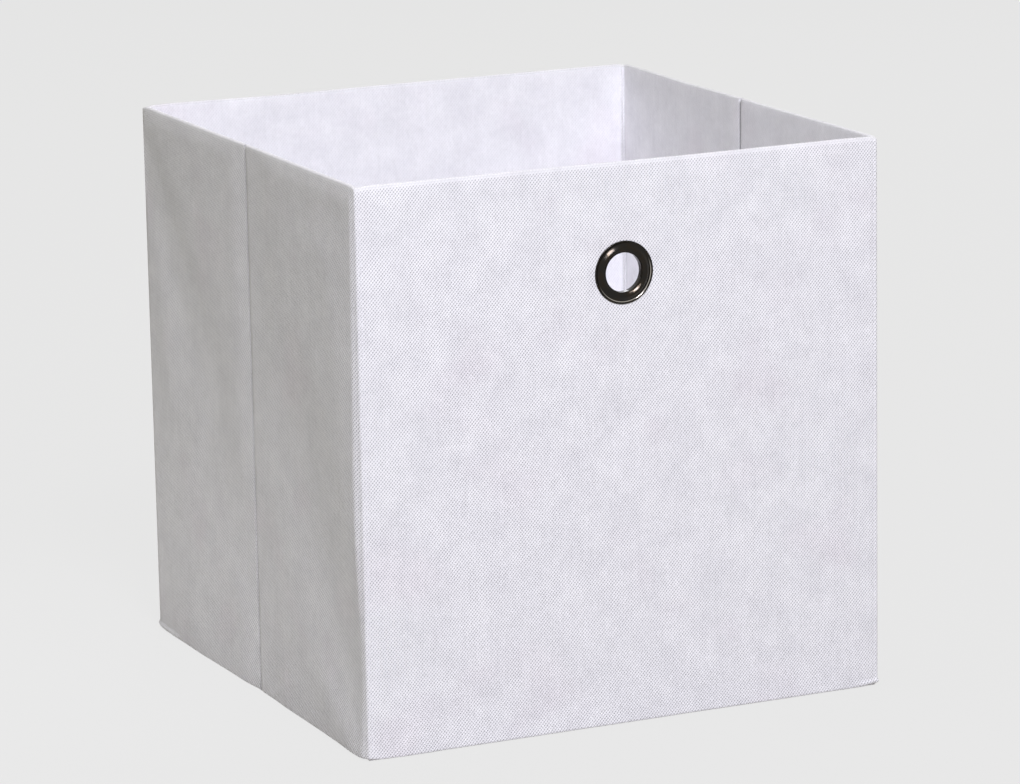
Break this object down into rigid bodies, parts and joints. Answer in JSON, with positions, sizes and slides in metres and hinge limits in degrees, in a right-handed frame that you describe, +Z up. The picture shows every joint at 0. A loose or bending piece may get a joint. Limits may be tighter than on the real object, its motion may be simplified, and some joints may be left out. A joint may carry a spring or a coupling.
{
  "type": "foldable storage box",
  "caption": "Open-topped cube storage box of non-woven cloth over cardboard, with a metal eyelet in the front wall, creased side walls that fold in, and a loose base insert.",
  "frame": {"origin": "centre of the footprint, on the surface that the box stands on", "axes": "+Z up, -Y out of the wall with the eyelet, +X to the right of someone who looks at that wall"},
  "size_m": [0.32, 0.3224, 0.32],
  "materials": {
    "nonwoven": "matte white non-woven cloth with a fine pressed dot pattern",
    "greyboard": "matte grey cardboard",
    "eyelet_metal": "polished black nickel"
  },
  "bodies": {
    "back": {"back_sleeve": "nonwoven", "back_board": "greyboard", "corner_seam_back_left": "nonwoven", "corner_seam_back_right": "nonwoven", "base_cloth": "nonwoven", "base_hem_back": "nonwoven", "base_hem_front": "nonwoven", "base_hem_left_rear": "nonwoven", "base_hem_left_front": "nonwoven", "base_hem_right_rear": "nonwoven", "base_hem_right_front": "nonwoven"},
    "left_rear": {"left_rear_sleeve": "nonwoven", "left_rear_board": "greyboard", "crease_seam_left": "nonwoven"},
    "left_front": {"left_front_sleeve": "nonwoven", "left_front_board": "greyboard"},
    "front": {"front_sleeve": "nonwoven", "front_board": "greyboard", "corner_seam_front_left": "nonwoven", "corner_seam_front_right": "nonwoven", "eyelet_ring": "eyelet_metal", "eyelet_washer": "eyelet_metal"},
    "right_rear": {"right_rear_sleeve": "nonwoven", "right_rear_board": "greyboard", "crease_seam_right": "nonwoven"},
    "right_front": {"right_front_sleeve": "nonwoven", "right_front_board": "greyboard"},
    "insert": {"insert_board": "greyboard", "insert_top_cloth": "nonwoven", "insert_bottom_cloth": "nonwoven"}
  },
  "joints": [
    {"name": "left_rear_fold", "type": "hinge", "parent": "back", "child": "left_rear", "pos_m": [-0.1559, 0.1551, 0], "axis": [0, 0, 1], "range_deg": [-0.3, 88.7], "deforming": ["base_cloth", "base_hem_back", "base_hem_front", "base_hem_left_rear", "base_hem_left_front", "base_hem_right_rear", "base_hem_right_front"]},
    {"name": "left_crease_fold", "type": "hinge", "parent": "left_rear", "child": "left_front", "pos_m": [-0.15969, 0, 0], "axis": [0, 0, 1], "range_deg": [-177.4, 0.6]},
    {"name": "front_left_fold", "type": "hinge", "parent": "left_front", "child": "front", "pos_m": [-0.1559, -0.1551, 0], "axis": [0, 0, 1], "range_deg": [-0.3, 88.7]},
    {"name": "right_rear_fold", "type": "hinge", "parent": "back", "child": "right_rear", "pos_m": [0.1559, 0.1551, 0], "axis": [0, 0, 1], "range_deg": [-88.7, 0.3]},
    {"name": "right_crease_fold", "type": "hinge", "parent": "right_rear", "child": "right_front", "pos_m": [0.15969, 0, 0], "axis": [0, 0, 1], "range_deg": [-0.6, 177.4]},
    {"name": "insert_lift", "type": "slide", "parent": "back", "child": "insert", "axis": [0, 0, 1], "range_m": [0, 0.34]}
  ],
  "couplings": [
    {"joint": "left_crease_fold", "follows": "left_rear_fold", "ratio": -2},
    {"joint": "front_left_fold", "follows": "left_rear_fold", "ratio": 1},
    {"joint": "right_rear_fold", "follows": "left_rear_fold", "ratio": -1},
    {"joint": "right_crease_fold", "follows": "left_rear_fold", "ratio": 2}
  ]
}
